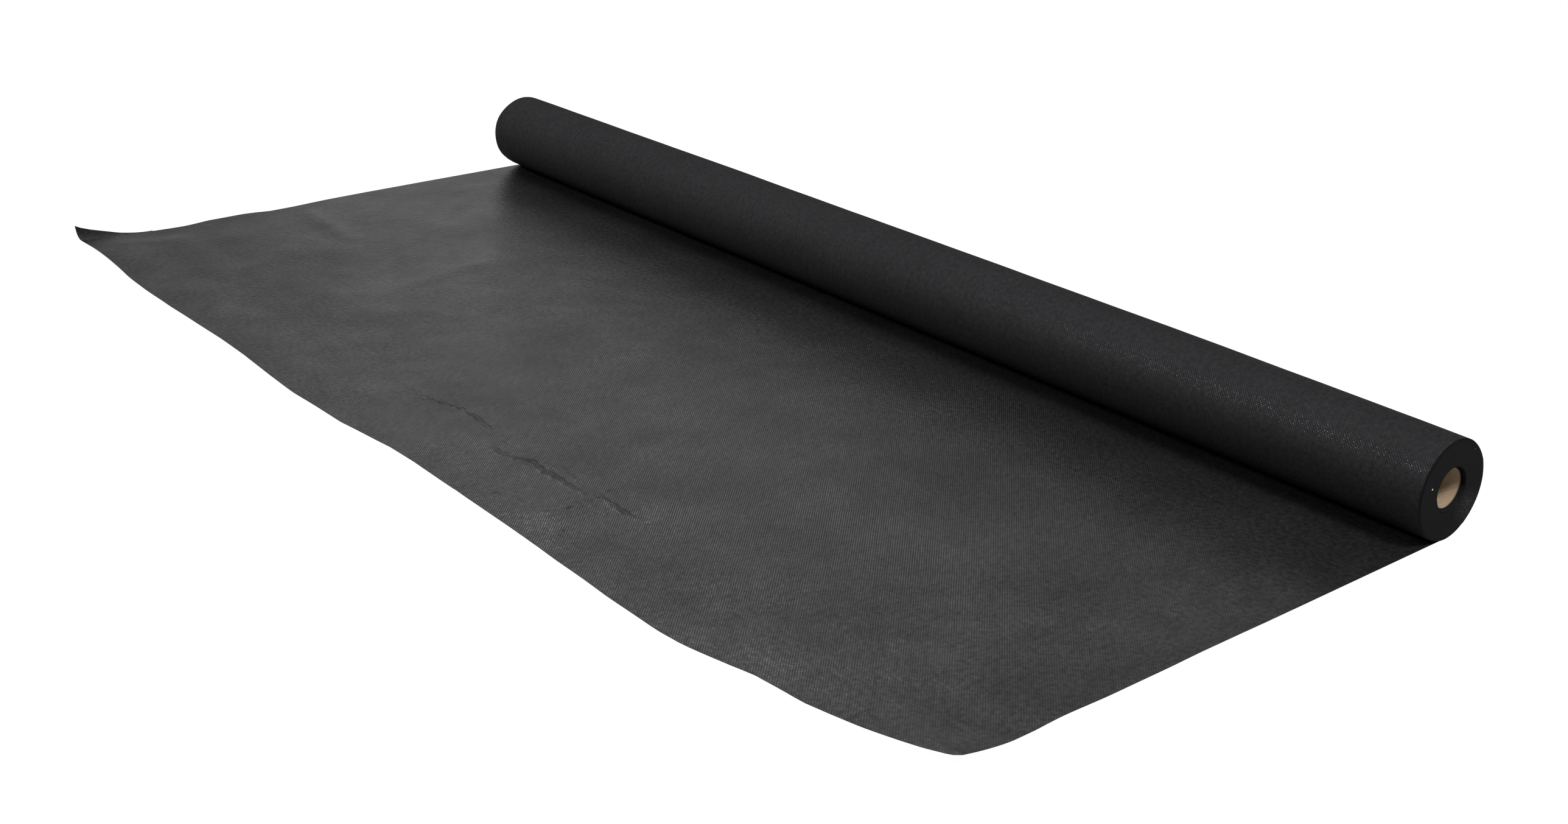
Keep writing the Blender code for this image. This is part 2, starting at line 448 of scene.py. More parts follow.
def makeCutLayers(look):
    material, shader = newMaterial("cutLayers", look["colour"], look["roughness"])
    shader.inputs["Specular IOR Level"].default_value = look["specular"]
    place = addNode(material, "TexCoord").outputs["Object"]
    parts, angle, radius = aroundAxis(material, place, look["axisHeight"])
    ringPlace = {"X": radius, "Y": mathNode(material, "MULTIPLY", angle, look["ringStretch"])}
    polar = addNode(material, "CombineXYZ", ringPlace)
    rings = noiseNode(material, polar.outputs[0], look["rings"])
    fuzz = noiseNode(material, place, look["fuzz"])

    distance = vectorNode(material, "SUBTRACT", place, look["rubPlace"])
    distance = vectorNode(material, "LENGTH", distance)
    rub = rangeNode(material, distance, *look["rubReach"], 1.0, 0.0)
    wear = rangeNode(material, fuzz, *look["rubWear"], 0.0, 1.0)
    rub = mathNode(material, "MULTIPLY", rub, wear)
    normal = addNode(material, "NewGeometry").outputs["True Normal"]
    facing = addNode(material, "SeparateXYZ", {0: normal}).outputs["Y"]
    facing = mathNode(material, "ABSOLUTE", facing)
    sides = rangeNode(material, facing, *look["sideFacing"], 1.0, 0.0)
    colour = mixColour(material, sides, look["colour"], look["sides"])
    colour = mixColour(material, rub, colour, look["rubbed"])

    factor = rangeNode(material, rings, *noiseSpan, *look["ringRange"])
    fuzzy = rangeNode(material, fuzz, *noiseSpan, *look["fuzzRange"])
    factor = mathNode(material, "MULTIPLY", factor, fuzzy)
    # painted shade on the mouth's upper wall, which faces down, deeper inwards
    out = mathNode(material, "ABSOLUTE", parts["Y"])
    within = rangeNode(material, out, *look["mouth"], look["mouthPaintedShade"], 0.0)
    paintedShadeAbove = rangeNode(material, parts["Z"], *look["paintedShadeUpper"], 0.0, 1.0)
    within = mathNode(material, "MULTIPLY", within, paintedShadeAbove)
    within = mathNode(material, "SUBTRACT", 1.0, within)
    factor = mathNode(material, "MULTIPLY", factor, within)
    colour = shaded(material, colour, factor)
    for *spot, reach, brightness in look["flecks"]:
        distance = vectorNode(material, "SUBTRACT", place, spot)
        distance = vectorNode(material, "LENGTH", distance)
        fleck = rangeNode(material, distance, reach * look["fleckCore"], reach, 1.0, 0.0)
        colour = mixColour(material, fleck, colour, (brightness,) * 3)
    link(material, colour, shader.inputs["Base Color"])
    relief = {"Height": fuzz, "Distance": look["fuzzHeight"], "Strength": look["fuzzStrength"]}
    link(material, addNode(material, "Bump", relief).outputs[0], shader.inputs["Normal"])
    return material


cutLayerMaterial = makeCutLayers(cutLayers)

# the card tube: brown plies wound on a slant, with a seam, near-black at its two rims and darker
# just inside its ends
cardTube = {
    "bore": 38.0,
    "wall": 1.8,
    "halfLength": 746.0,
    "sides": 96,
    "axisHeight": 49.3,
    "card": (0.325, 0.243, 0.160),
    "fibre": (0.265, 0.187, 0.117),
    "rim": (0.004, 0.0036, 0.003),
    "rimSpan": (0.05, 0.35),  # mm out from the bore, where the rim's dark starts and is full
    "endDarkSpan": (1.2, 0.2),  # mm in from the ends, the same within the bore
    "endDark": 0.6,
    "plyPitch": 154.0,
    "seamAt": 0.37,
    "seamSpan": (0.002, 0.012),
    "seamShare": 0.7,
    "fibres": (900.0, 3.0, 0.6),  # noises: scale, detail and roughness
    "blotches": (120.0, 3.0, 0.5),
    "fibreStretch": (1, 0.25, 1),
    "fibreSpan": (0.45, 0.8, 0.0, 0.6),
    "blotchRange": (0.88, 1.1),
    "fibreRelief": 0.3,
    "relief": 0.12 * mm,
    "roughness": 0.82,
    "specular": 0.2,
    "bevel": 0.35,
}


def makeCard(look):
    material, shader = newMaterial("tubeCard", look["card"], look["roughness"])
    shader.inputs["Specular IOR Level"].default_value = look["specular"]
    place = addNode(material, "TexCoord").outputs["Object"]
    parts, angle, radius = aroundAxis(material, place, look["axisHeight"] * mm)
    turn = mathNode(material, "DIVIDE", angle, 2 * math.pi)
    along = mathNode(material, "DIVIDE", parts["Y"], look["plyPitch"] * mm)
    ply = mathNode(material, "FRACT", mathNode(material, "ADD", along, turn))
    seam = mathNode(material, "SUBTRACT", ply, look["seamAt"])
    seam = mathNode(material, "PINGPONG", seam, 0.5)
    seam = rangeNode(material, seam, *look["seamSpan"], 1.0, 0.0)
    fibres = noiseNode(material, place, look["fibres"], look["fibreStretch"])
    blotches = noiseNode(material, place, look["blotches"])
    streaks = rangeNode(material, fibres, *look["fibreSpan"])
    colour = mixColour(material, streaks, look["card"], look["fibre"])
    line = mathNode(material, "MULTIPLY", seam, look["seamShare"])
    colour = mixColour(material, line, colour, look["fibre"])

    # the rims and the outside go near-black, and the bore darkens within about a millimetre of each
    # end
    rim = [(look["bore"] / 2 + past) * mm for past in look["rimSpan"]]
    outer = rangeNode(material, radius, *rim, 0.0, 1.0)
    endDark = [(look["halfLength"] - within) * mm for within in look["endDarkSpan"]]
    ends = rangeNode(material, mathNode(material, "ABSOLUTE", parts["Y"]), *endDark, 0.0, 1.0)
    ends = mathNode(material, "MULTIPLY", ends, look["endDark"])
    rimAndEndDark = mathNode(material, "MAXIMUM", outer, ends)
    colour = mixColour(material, rimAndEndDark, colour, look["rim"])
    factor = rangeNode(material, blotches, *noiseSpan, *look["blotchRange"])
    link(material, shaded(material, colour, factor), shader.inputs["Base Color"])
    height = mathNode(material, "MULTIPLY", fibres, look["fibreRelief"])
    height = mathNode(material, "SUBTRACT", height, seam)
    bumped = addNode(material, "Bump", {"Height": height, "Distance": look["relief"]})
    link(material, bumped.outputs[0], shader.inputs["Normal"])
    return material


tubeCard = makeCard(cardTube)
print("materials mixed")


# the laid cloth, from the back of the roll, under it and out to the cut end

laidSheet = {
    "wrap": 33.75,  # degrees of the roll's back that the cloth still clings to
    "wrapRadius": 49.1,
    "axisHeight": 49.3,
    "thickness": 0.4,
    "halfWidth": 750.0,
    "length": 655.0,
    "pinned": 130.0,  # nearer the roll than this the cloth is flat and straight
    # the mesh: its spans are (from, to, how many)
    "wrapRows": 10,
    "rows": (
        (0, 20, 3), (20, 130, 14), (130, 500, 44), (500, 538, 18), (538, 585, 60), (585, 655, 38),
    ),
    "columns": (
        (-750, -728, 12), (-728, -690, 10), (-690, -130, 54), (-130, 310, 132), (310, 640, 30),
        (640, 750, 22),
    ),
    # the cut end: (place across, distance from the roll's axis)
    "cutEnd": (
        (-750, 654), (-730, 651), (-700, 650), (-660, 650), (-622, 650), (-588, 652), (-544, 654),
        (-476, 655), (-352, 654), (-288, 656), (-226, 660), (-164, 663), (-116, 661.5), (-66, 661),
        (-25, 657), (16, 653), (60, 652), (106, 653), (193, 655), (275, 657), (315, 659),
        (355, 660), (391, 662), (426, 662.5), (460, 663), (490, 661), (516, 656), (540, 651),
        (562, 645.5), (589, 643), (616, 641.5), (639, 637), (660, 632), (681, 627.5), (702, 623),
        (722, 618.5), (740, 613), (746, 610.5), (750, 606),
    ),
    "tuck": 3.0,  # towards the roll the two sides draw in, like its outer layers
    "tuckAlong": (0, 25),
    "tuckAcross": (650, 750),
    "lifts": (40, 240),  # swells and folds grow out to here
    "rippleFlat": 0.35,  # the ripples' share near the roll, and where it grows to all of them
    "rippleGrows": (250, 550),
    "edgeReach": 40,  # this near the cut end all heights sink
    "edgeShare": 0.25,  # to this share
    # how far the far side edge is drawn in, over its last stretch: (distance from the axis, mm)
    "farSideAcross": (640, 750),
    "farSide": (
        (0, 0), (250, 0), (293, 0.8), (328, 3.5), (364, 5.8), (399, 5.8), (416, 2.5), (433, 0.8),
        (466, 1), (483, 0.8), (500, 3), (516, 4.6), (534, 4.6), (550, 3), (566, 1), (590, 0),
        (670, 0),
    ),
}

# the far corner: a low rise that ends in a turned-up edge
farCorner = {
    "riseHeight": 7.5,
    "riseAlong": (556, 655),
    "riseAcross": (-588, -690),
    "curlRadius": 9.0,
    "straight": 8.0,
    "curl": (
        (556, 0), (580, 12), (596, 24), (611, 40), (635, 61), (647, 76), (654, 90), (680, 92),
    ),
    "easeFrom": -600.0,  # the cloth beside the bend is drawn along, from here out
    "easePower": 1.5,
    "setIn": 2.0,
}

nearCorner = {"height": 8.0, "run": 55.0, "depth": 90.0, "power": 1.5}

# broad soft swells: (along, across, reach along, reach across, height)
swells = (
    (557, 90, 66, 255, 1.6), (485, -645, 144, 105, 1.9), (609, -165, 66, 90, 1.4),
    (603, 225, 79, 60, 1.8), (295, -330, 105, 165, 0.9), (360, 495, 118, 180, 0.8),
    (590, 540, 85, 75, 1.5), (430, -560, 60, 60, 1.6), (520, -430, 70, 80, 1.4),
    (455, -235, 60, 100, 1.1), (610, -480, 50, 70, 1.3), (560, 420, 60, 90, 1.0),
)

# soft folds towards the far corner: (height, half width, points as (along, across))
folds = (
    (1.7, 17, ((640, -500), (577, -532), (522, -549), (463, -572))),
    (1.5, 15, ((362, -705), (366, -647), (373, -584))),
    (1.6, 12, ((405, -378), (395, -382), (342, -394), (286, -399))),
    (1.9, 24, ((556, -690), (549, -624), (566, -570))),
    (0.9, 14, ((480, -330), (440, -300), (400, -250))),
    (0.9, 15, ((330, -240), (290, -200), (250, -190))),
    (0.8, 14, ((400, 330), (350, 345), (300, 330))),
)

# sharp creases: (height, half width, points as (along, across))
creases = (
    (1.9, 3.4, (
        (562, -131), (561, -107), (562, -73), (558, -52), (550, -26), (550, 5), (554, 32),
        (556, 51), (557, 73), (551, 93),
    )),
    (2.7, 3.2, (
        (573, 60), (577, 90), (576, 104), (569, 117), (564, 129), (567, 150), (566, 167),
        (566, 185), (567, 206), (568, 226),
    )),
    (2.2, 3.4, ((568, 220), (559, 231), (558, 247), (558, 265), (558, 285), (549, 301))),
    (1.5, 2.4, (
        (657, 200), (634, 220), (616, 230), (605, 236), (587, 231), (572, 231), (555, 225),
        (536, 223), (515, 230),
    )),
    (2.4, 2.8, ((660, 120), (651, 148), (645, 163), (637, 169), (626, 166), (614, 156))),
    (1.6, 2.8, ((660, 252), (648, 271), (638, 274), (627, 268), (610, 261))),
    (1.0, 2.6, ((560, -94), (561, -65), (564, -41), (562, -28))),
    (0.9, 2.4, ((552, -58), (547, -49), (537, -47))),
    (1.0, 2.6, ((564, -60), (564, -33), (555, -13), (557, 8))),
    (1.0, 2.8, ((554, 137), (549, 153), (554, 175))),
    (0.8, 3.0, ((543, 208), (531, 234), (515, 248))),
    (1.3, 3.0, ((564, 129), (557, 141), (553, 170), (555, 200))),
)

creasing = {
    "height": 0.62,
    "width": 0.85,
    "sharpness": 1.5,
    "taper": (0.04, 0.6),  # how blunt a crease's ends are, and how soon it reaches its height
    "crumple": 0.22,  # the crumpled strip beside it: its share of the crease's height
    "crumpleReach": 5,  # and how many times as wide it is
    "crumpleWaves": ((3.1, 2, 9), (3.7, 1.5, 7)),  # each: its wave, its sway and the sway's wave
    "crumpleRise": 0.3,
}

# faint undulation all over, less near the roll
ripples = {
    "seed": 7,
    "count": 22,
    "wave": (45, 230),
    "fullWave": 200,  # a wave this long has the full height
    "height": 0.20,
    "rise": 0.25,
}


def alongTable(table, values):
    points = np.array(table, float)
    return np.interp(values, points[:, 0], points[:, 1])


def swellHeight(along, across):
    height = np.zeros_like(along)
    for placeAlong, placeAcross, reachAlong, reachAcross, most in swells:
        offAlong, offAcross = (along - placeAlong) / reachAlong, (across - placeAcross) / reachAcross
        height += most * np.maximum(0, 1 - offAlong ** 2 - offAcross ** 2) ** 2
    return height


def nearestOnLine(along, across, points):
    # how far each place is from a line through the points, and its share of the way along it
    spots = np.array(points, float)
    lengths = np.hypot(*np.diff(spots, axis=0).T)
    run, best, share = 0.0, np.full(along.shape, 1e9), np.zeros_like(along)
    for start, end, length in zip(spots[:-1], spots[1:], lengths):
        step = (end - start) / length
        there = np.clip((along - start[0]) * step[0] + (across - start[1]) * step[1], 0, length)
        gap = np.hypot(along - start[0] - there * step[0], across - start[1] - there * step[1])
        nearer = gap < best
        best = np.where(nearer, gap, best)
        share = np.where(nearer, (run + there) / lengths.sum(), share)
        run += length
    return best, share


def foldHeight(along, across):
    height = np.zeros_like(along)
    for most, halfWidth, points in folds:
        best, _ = nearestOnLine(along, across, points)
        height += most * np.exp(-(best / halfWidth) ** 2)
    return height


def creaseHeight(along, across):
    height = np.zeros_like(along)
    (first, sway, swayWave), (second, turn, turnWave) = creasing["crumpleWaves"]
    crumple = np.sin(along / first + sway * np.sin(across / swayWave))
    crumple = crumple * np.sin(across / second + turn * np.sin(along / turnWave))
    crumple = (crumple + creasing["crumpleRise"]) * creasing["crumple"]
    blunt, power = creasing["taper"]
    for most, halfWidth, points in creases:
        most, halfWidth = most * creasing["height"], halfWidth * creasing["width"]
        best, share = nearestOnLine(along, across, points)
        most = most * np.sin(math.pi * np.clip(share, blunt, 1 - blunt)) ** power
        height = np.maximum(height, most * np.exp(-(best / halfWidth) ** creasing["sharpness"]))
        beside = np.exp(-(best / (creasing["crumpleReach"] * halfWidth)) ** 2)
        height = height + most * beside * crumple
    return height


def rippleHeight(along, across):
    chance = np.random.default_rng(ripples["seed"])
    height = np.zeros_like(along)
    for _ in range(ripples["count"]):
        wave = chance.uniform(*ripples["wave"])
        way, phase = chance.uniform(0, math.pi), chance.uniform(0, 2 * math.pi)
        travelled = along * math.cos(way) + across * math.sin(way)
        strength = math.sqrt(wave / ripples["fullWave"])
        height += np.sin(2 * math.pi / wave * travelled + phase) * strength
    return np.maximum(0, height * ripples["height"] + ripples["rise"])


def nearLift(sheet, x, across):
    # the near corner stands a little off the ground
    corner, side = nearCorner, sheet["halfWidth"]
    start = alongTable(sheet["cutEnd"], np.array([side])) - corner["run"]
    liftAlong = clamp((x - start) / corner["run"])
    liftAcross = clamp(1 - (side - across) / corner["depth"])
    return corner["height"] * (liftAlong * liftAcross) ** corner["power"]


def turnUp(sheet, x, y, across, onFloor):
    # the turned-up far edge: flat up to the bend, then round it and straight on
    corner, side = farCorner, sheet["halfWidth"]
    radius = corner["curlRadius"]
    angle = np.radians(alongTable(corner["curl"], x)) * onFloor
    quarter = angle / (math.pi / 2)
    straight = corner["straight"] * quarter
    fromEdge = across + side
    bend = straight + radius * angle
    into = np.clip(bend - fromEdge, 0, None)
    turned = np.minimum(into / radius, angle)
    past = np.maximum(into - radius * angle, 0)
    out = radius * np.sin(turned) + past * np.cos(angle)
    bendPlace = corner["setIn"] * quarter + radius * np.sin(angle) + straight * np.cos(angle)
    easing = clamp((corner["easeFrom"] - across) / (side + corner["easeFrom"] - bend))
    pulled = np.where(angle > 0, (bendPlace - bend) * easing ** corner["easePower"], 0)
    y = np.where(into > 0, bendPlace - side - out, y + pulled)
    return y, radius * (1 - np.cos(turned)) + past * np.sin(angle)


def layCloth(sheet):
    wrapRows = np.radians(steps((-sheet["wrap"], 0, sheet["wrapRows"])))[:-1]
    alongRows, columns = steps(*sheet["rows"]), steps(*sheet["columns"])
    rows = len(wrapRows) + len(alongRows)
    piece, row, column = gridPiece("laidCloth", rows, len(columns))
    across = columns[column]
    flatAlong = np.concatenate([wrapRows * sheet["wrapRadius"], alongRows])[row]
    onFloor = flatAlong > 0

    end = alongTable(sheet["cutEnd"], across)
    loose = clamp((flatAlong - sheet["pinned"]) / (sheet["length"] - sheet["pinned"]))
    x = np.where(onFloor, flatAlong + (end - sheet["length"]) * loose, flatAlong)
    drawn = alongTable(sheet["farSide"], x) * between(-across, *sheet["farSideAcross"]) * onFloor
    tucked = sheet["tuck"] * between(-flatAlong, *sheet["tuckAlong"])
    tucked = tucked * between(np.abs(across), *sheet["tuckAcross"])
    y = across + drawn - np.sign(across) * tucked

    flat = sheet["rippleFlat"]
    rippled = rippleHeight(x, across) * (flat + (1 - flat) * between(x, *sheet["rippleGrows"]))
    z = swellHeight(x, across) + foldHeight(x, across) + rippled
    z = z * between(x, *sheet["lifts"]) * onFloor + creaseHeight(x, across) * onFloor
    inside = ease((end - x) / sheet["edgeReach"])
    z = z * (sheet["edgeShare"] + (1 - sheet["edgeShare"]) * inside)
    rise = between(x, *farCorner["riseAlong"]) * between(across, *farCorner["riseAcross"])
    z = z + farCorner["riseHeight"] * rise + nearLift(sheet, x, across)
    y, turned = turnUp(sheet, x, y, across, onFloor)
    z = np.maximum(z + turned, 0) + sheet["thickness"] / 2

    # round the roll's back
    clinging = ~onFloor
    radius = sheet["wrapRadius"]
    around = np.where(clinging, flatAlong / radius, 0)
    x = np.where(clinging, radius * np.sin(around), x)
    z = np.where(clinging, sheet["axisHeight"] - radius * np.cos(around), z)

    setPlaces(piece, x, y, z)
    setVector(piece, "webShift", (flatAlong - x) * clinging, across - y)
    piece.data.materials.append(laidFabric)
    applyModifier(piece, "SOLIDIFY", thickness=sheet["thickness"] * mm, offset=0)
    smoothShade(piece, 45)
    return piece


laidCloth = layCloth(laidSheet)
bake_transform(laidCloth)
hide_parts("laid_web", "web_under_roll")
print("cloth laid:", len(laidCloth.data.polygons), "faces")


# the wound web: one strip rolled up from the tube outwards

woundWeb = {
    "firstRadius": 21.5,
    "lastRadius": 49.29,
    "loops": 64,
    "thickness": 0.434,
    "pointsPerLoop": 72,
    "outerPoints": 132,
    "outerColumns": 190,
    "endAngle": -33.75,
    "axisHeight": 49.3,
    "halfWidth": 750.0,
    "pressed": (0.3, 1.5),  # how far its weight flattens the roll where it rests, how narrowly
    "rimRound": (  # how far the rim is drawn in, by degrees up from the front
        (0, 1.3), (60, 1.4), (100, 1.4), (140, 1.2), (160, 0.5), (200, 0.3), (270, 0.3),
        (300, 0.8), (330, 1.3), (360, 1.3),
    ),
    "rimRoundDepth": 4.0,
    "rimRoundPower": 2.2,
    "mouthRound": 0.5,
    "mouthRoundDepth": 2.0,
    "setBack": 0.1,
    "stray": (0.008, 0.1),  # how unevenly the layers end, and the most of it
    "strayPerTurn": 4,
    "seed": 11,
    # how far the top stands out of round: (place along the roll, mm)
    "topOut": (
        (-750, -2.3), (-700, -1.9), (-600, -1.6), (-500, -1.05), (-400, -0.6), (-300, -0.1),
        (-200, 0.06), (-100, 0.27), (0, 0.48), (100, 0.68), (200, 0.76), (300, 0.9),
        (400, 0.95), (500, 0.5), (600, 0.03), (650, -0.2), (700, -0.63), (735, -1.04),
        (750, -1.3),
    ),
    # the share of it, by degrees up from the front
    "topShare": ((0, 0), (30, 0), (60, 0.5), (100, 1), (130, 1.1), (160, 0), (360, 0)),
    # the ends, by the same degrees: how far the near face stands out, and how far the far rim
    # is out of round
    "nearFace": (
        (0, 0), (150, 0), (165, 0.1), (180, 0.5), (200, 0.7), (220, 0.85), (240, 1.0),
        (258, 1.3), (275, 1.5), (290, 1.3), (310, 0.7), (330, 0.3), (360, 0),
    ),
    "nearFaceRadii": (22, 40),  # it grows from none to all between these
    "farRim": (
        (0, 0.1), (10, 0.5), (20, 0.75), (28, 0.6), (36, 0.3), (44, -0.2), (60, -0.6), (90, 0),
        (290, 0), (300, -1.0), (315, -1.2), (325, -0.6), (340, -0.1), (350, -0.2), (360, 0.1),
    ),
    "farRimReach": 90.0,
    # the web's start stands off the tube: the turn where it starts, and by the same degrees
    # how far the layers over it stand off
    "startTurn": -0.137,
    "standOff": (
        (0, 0), (95, 0), (140, 0.5), (186, 1.1), (200, 0.85), (245, 0.9), (310, 0.95),
        (345, 0.5), (360, 0),
    ),
    "standOffReach": 6.0,
    # the folded start: where it folds, its points for each pass, and each pass's layers inwards
    "foldTurn": 0.302,
    "foldPoints": 30,
    "foldLayers": (2.0, 1.0),
    "foldLift": 0.45,
    "coverTurn": 0.75,  # turns past the start where the first full layer goes over it
    "coverRun": 0.15,
    # the outer turn's bands and slanting pulls: (wave along the roll, slant, phase, strength)
    "bands": (
        (61, 0, 0, 0.5), (23.7, 0, 1.3, 0.3), (9.1, 0, 0.4, 0.12), (17, 3, 0, 0.25),
        (41, -5, 2, 0.35),
    ),
    "bandHeight": 0.13,
    "bandStart": 0.5,
    "columnSpread": 0.92,  # how much closer the outer turn's columns are towards its ends
}


def layerEnd(web, radius, turns, around, side):
    # where a layer ends: drawn in at the outer rim and at the mouth, and a little uneven
    rimDepth, mouthDepth = web["rimRoundDepth"], web["mouthRoundDepth"]
    outer = clamp((radius - web["lastRadius"] + rimDepth) / rimDepth)
    mouth = clamp((web["firstRadius"] + mouthDepth - radius) / mouthDepth)
    chance = np.random.default_rng(web["seed"] + (side > 0))
    offsets = chance.normal(0, 1, (web["loops"] + 2) * web["strayPerTurn"])
    size, most = web["stray"]
    stray = np.interp(turns * web["strayPerTurn"], np.arange(len(offsets)), offsets) * size
    drawn = alongTable(web["rimRound"], around) * outer ** web["rimRoundPower"]
    drawn = drawn + web["mouthRound"] * mouth ** 2
    shifted = alongTable(web["nearFace"], around) * between(radius, *web["nearFaceRadii"])
    end = web["halfWidth"] - web["setBack"] - drawn + shifted * (side > 0)
    return side * (end + np.clip(stray, -most, most))


def outOfRound(web, radius, around, y, outermost):
    # the roll sags at its two ends, and is pressed a little flat where it rests
    share = clamp((radius - web["firstRadius"]) / (web["lastRadius"] - web["firstRadius"]))
    top = alongTable(web["topOut"], y) * alongTable(web["topShare"], around)
    farEnd = between(y, web["farRimReach"] - web["halfWidth"], -web["halfWidth"])
    far = alongTable(web["farRim"], around) * farEnd
    far = far if outermost else np.minimum(far, 0)  # the layers within are straight
    pressed, power = web["pressed"]
    down = np.maximum(0, np.cos(np.radians(around - 270))) ** power
    return share * (top + far - pressed * down)


def pulls(web, y, angle):
    # hard and soft bands along the roll and faint pulls, none where the laid cloth clings
    bands = sum(
        np.sin(y / wave + angle * slant + phase) * strength
        for wave, slant, phase, strength in web["bands"])
    return web["bandHeight"] * bands * ease((1 - np.cos(angle)) / web["bandStart"])


def foldedStart(web):
    # the web's first stretch goes to and fro on the tube: its turns, and how far each point is
    # inside its layer's radius
    start, fold, count = web["startTurn"], web["foldTurn"], web["foldPoints"]
    passes = [np.linspace(start, fold, count), np.linspace(fold, start, count)]
    inwards = np.repeat(web["foldLayers"], count) * web["thickness"]
    return np.concatenate(passes), inwards


def rollUp(name, web, turns, inwards, columns, outermost, finish):
    # turns counts from the tube; columns go from -1 to 1 across the web
    piece, row, column = gridPiece(name, len(turns), len(columns))
    turn, share = turns[row], columns[column]
    pitch = (web["lastRadius"] - web["firstRadius"]) / web["loops"]
    radius = web["firstRadius"] + pitch * turn
    covered = turn - web["startTurn"] - web["coverTurn"]
    over = (covered > 0) * np.exp((web["firstRadius"] - radius) / web["standOffReach"])
    radius = radius + ease(-covered / web["coverRun"]) * web["foldLift"] - inwards[row]
    angle = math.radians(web["endAngle"]) + 2 * math.pi * (turn - web["loops"])
    around = (np.degrees(angle) - 90) % 360
    radius = radius + alongTable(web["standOff"], around) * over
    low, high = (layerEnd(web, radius, turn, around, side) for side in (-1, 1))
    y = np.where(share < 0, -share * low, share * high)
    radius = radius + outOfRound(web, radius, around, y, outermost)
    if outermost:
        radius = radius + pulls(web, y, angle)
    x = radius * np.sin(angle)
    z = web["axisHeight"] - radius * np.cos(angle)
    setPlaces(piece, x, y, z)
    travelled = 2 * math.pi * (web["firstRadius"] * turn + pitch * turn ** 2 / 2)
    setVector(piece, "webPlace", travelled, share * web["halfWidth"])
    piece.data.materials.append(finish)
    piece.data.materials.append(cutLayerMaterial)
    thickness = web["thickness"] * mm
    applyModifier(piece, "SOLIDIFY", thickness=thickness, offset=0, material_offset_rim=1)
    smoothShade(piece, 40)
    return piece


def makeLayers(web):
    foldTurns, foldInwards = foldedStart(web)
    turns = np.linspace(web["startTurn"], web["loops"] - 1, web["loops"] * web["pointsPerLoop"])
    inwards = np.concatenate([foldInwards, turns * 0])
    turns = np.concatenate([foldTurns, turns])
    sides = np.array([-1.0, 1.0])
    return rollUp("woundLayers", web, turns, inwards, sides, False, cutLayerMaterial)


def makeOuterTurn(web):
    turns = np.linspace(web["loops"] - 1, web["loops"], web["outerPoints"] + 1)
    spread = math.pi / 2 * web["columnSpread"]
    shares = np.sin(np.linspace(-1, 1, web["outerColumns"]) * spread) / math.sin(spread)
    return rollUp("outerTurn", web, turns, turns * 0, shares, True, woundFabric)


woundLayers = makeLayers(woundWeb)
outerTurn = makeOuterTurn(woundWeb)
for piece in (woundLayers, outerTurn):
    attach(piece, "roll")
    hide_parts("winding")
wound = [len(piece.data.polygons) for piece in (woundLayers, outerTurn)]
print("web wound:", *wound, "faces")


# the card tube

def makeTube(tube):
    deselectAll()
    outerRadius = (tube["bore"] / 2 + tube["wall"]) * mm
    bpy.ops.mesh.primitive_cylinder_add(
        vertices=tube["sides"], radius=outerRadius, depth=2 * tube["halfLength"] * mm,
        end_fill_type="NOTHING", location=(0, 0, tube["axisHeight"] * mm),
        rotation=(math.pi / 2, 0, 0))
    piece = bpy.context.object
    piece.name = piece.data.name = "cardTube"
    bpy.ops.object.transform_apply(location=True, rotation=True, scale=True)
    bpy.ops.object.mode_set(mode="EDIT")
    bpy.ops.mesh.select_all(action="SELECT")
    bpy.ops.mesh.subdivide(number_cuts=1)
    bpy.ops.mesh.normals_make_consistent(inside=False)
    bpy.ops.object.mode_set(mode="OBJECT")
    applyModifier(piece, "SOLIDIFY", thickness=tube["wall"] * mm, offset=-1)
    applyModifier(piece, "BEVEL", width=tube["bevel"] * mm, segments=2, limit_method="ANGLE")
    smoothShade(piece, 40)
    piece.data.materials.append(tubeCard)
    return piece


tube = makeTube(cardTube)
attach(tube, "roll")
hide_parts("core_tube")
print("tube made:", len(tube.data.polygons), "faces")

# the tape that holds the web's start on the tube stays as the CAD has it
startTape = {
    "colour": (0.55, 0.50, 0.40),
    "roughness": 0.25,
    "wrinkles": (220.0, 2.0, 0.5),  # a noise: scale, detail and roughness
    "wrinkleHeight": 0.1 * mm,
    "glossSpan": (0.2, 0.4),
}


def makeTape(look):
    material, shader = newMaterial("packingTape", look["colour"], look["roughness"])
    place = addNode(material, "TexCoord").outputs["Object"]
    wrinkle = noiseNode(material, place, look["wrinkles"])
    bump = addNode(material, "Bump", {"Height": wrinkle, "Distance": look["wrinkleHeight"]})
    link(material, bump.outputs[0], shader.inputs["Normal"])
    gloss = rangeNode(material, wrinkle, *noiseSpan, *look["glossSpan"])
    link(material, gloss, shader.inputs["Roughness"])
    return material


tapeNode = frame["nodes"]["start_tape"]
tapeNode.data.materials.clear()
tapeNode.data.materials.append(makeTape(startTape))


# floor, surround and lamps

studio = {
    "floorSize": 14.0,
    "floorDrop": 0.0004,
    "floorColour": (0.36, 0.36, 0.36),
    "floorRoughness": 0.9,
    "floorGlow": 0.96,  # how much of the floor's own shade the camera doesn't see
    "glowStrength": 1.03,
    "surround": 0.31,
}

# each lamp: its place, what it is turned to, its size in metres and its power in watts
lamps = {
    "softBox": ((1.78, -0.9, 1.66), (0.2, 0.1, 0.0), (0.42, 0.42), 44.0),
    "overhead": ((0.1, -1.2, 2.4), (0.1, -0.6, 0.0), (2.0, 2.0), 33.0),
    "sideBox": ((0.1, 1.9, 2.2), (0.0, 0.74, 0.05), (0.6, 0.6), 56.0),
    "backPanel": ((-2.63, -2.41, 1.18), (0.3, 0.0, 0.0), (4.3, 2.0), 7.1),
}


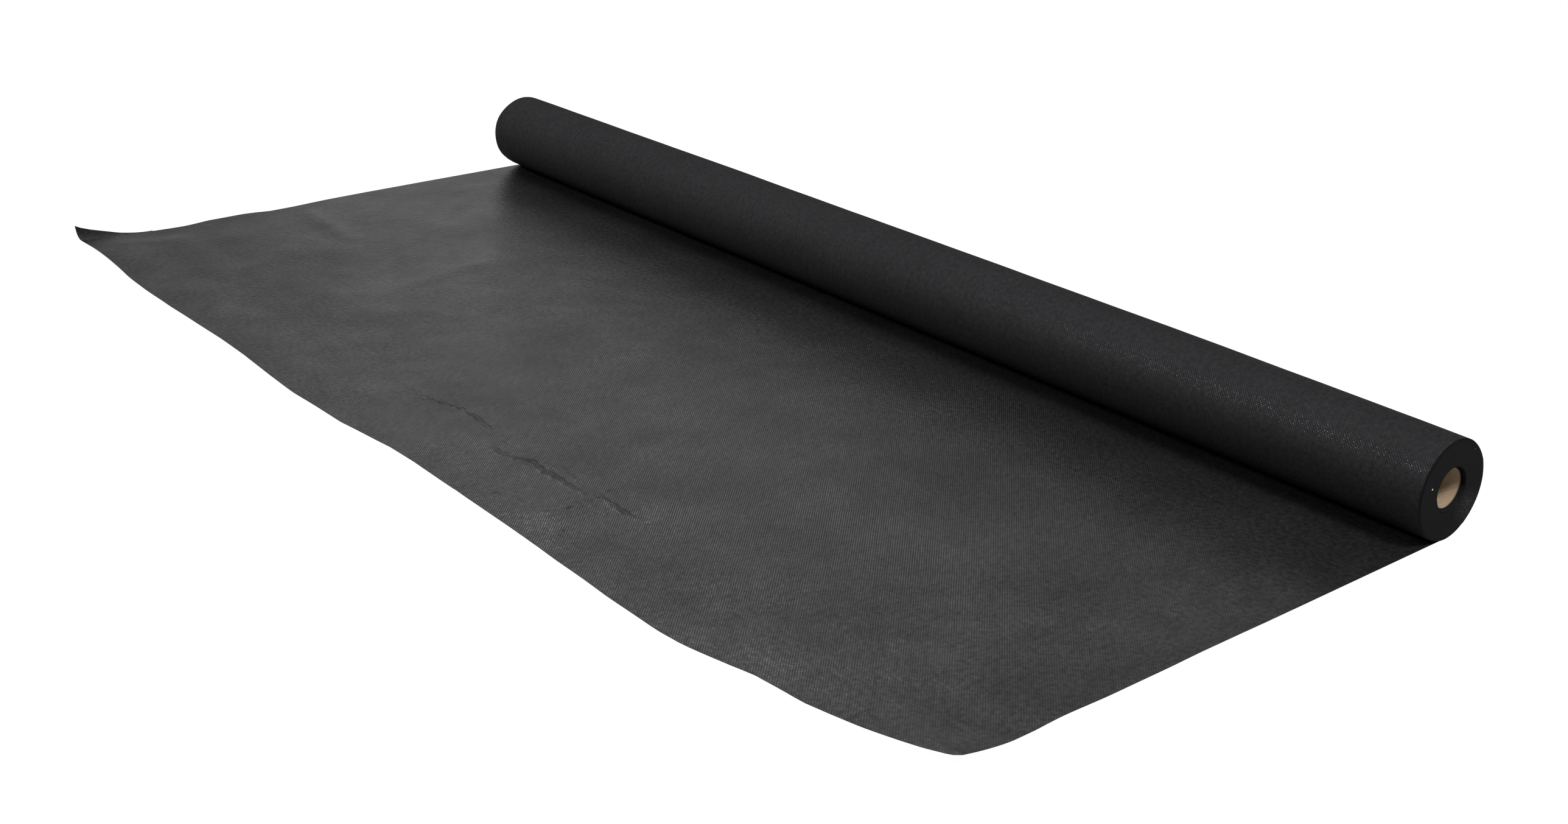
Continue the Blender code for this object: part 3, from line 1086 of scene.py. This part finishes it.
def makeFloor(look):
    deselectAll()
    place = (0, 0, -look["floorDrop"])
    bpy.ops.mesh.primitive_plane_add(size=look["floorSize"], location=place)
    floor = bpy.context.object
    floor.name = floor.data.name = "floor"
    material, shader = newMaterial("paleFloor", look["floorColour"], look["floorRoughness"])
    shader.inputs["Specular IOR Level"].default_value = 0.0
    white = {"Color": (1, 1, 1, 1), "Strength": look["glowStrength"]}
    glow = addNode(material, "Emission", white)
    rays = addNode(material, "LightPath").outputs
    seen = mathNode(material, "MAXIMUM", rays["Is Camera Ray"], rays["Is Glossy Ray"])
    seen = mathNode(material, "MAXIMUM", seen, rays["Is Transmission Ray"])
    seen = mathNode(material, "MULTIPLY", seen, look["floorGlow"])
    mixed = addNode(material, "MixShader", {0: seen, 1: shader.outputs[0], 2: glow.outputs[0]})
    surface = material.node_tree.nodes["Material Output"].inputs["Surface"]
    link(material, mixed.outputs[0], surface)
    floor.data.materials.append(material)


def makeSurround(look):
    world = bpy.data.worlds.new("surround")
    bpy.context.scene.world = world
    world.use_nodes = True
    tree = world.node_tree
    soft = tree.nodes["Background"]
    soft.inputs["Color"].default_value = (1, 1, 1, 1)
    soft.inputs["Strength"].default_value = look["surround"]
    white = tree.nodes.new("ShaderNodeBackground")
    white.inputs["Strength"].default_value = 1.0
    white.inputs["Color"].default_value = (1, 1, 1, 1)
    rays = tree.nodes.new("ShaderNodeLightPath")
    mixed = tree.nodes.new("ShaderNodeMixShader")
    tree.links.new(rays.outputs["Is Camera Ray"], mixed.inputs[0])
    tree.links.new(soft.outputs[0], mixed.inputs[1])
    tree.links.new(white.outputs[0], mixed.inputs[2])
    tree.links.new(mixed.outputs[0], tree.nodes["World Output"].inputs["Surface"])


def makeLamp(name, place, aim, size, power):
    deselectAll()
    bpy.ops.object.light_add(type="AREA", location=place)
    lamp = bpy.context.object
    lamp.name = name
    lamp.data.shape = "RECTANGLE"
    lamp.data.size, lamp.data.size_y = size
    lamp.data.energy = power
    way = Vector(aim) - Vector(place)
    lamp.rotation_euler = way.to_track_quat("-Z", "Y").to_euler()


makeFloor(studio)
makeSurround(studio)
for name, lamp in lamps.items():
    makeLamp(name, *lamp)
bpy.context.scene.view_settings.view_transform = "Standard"
print("studio lit")
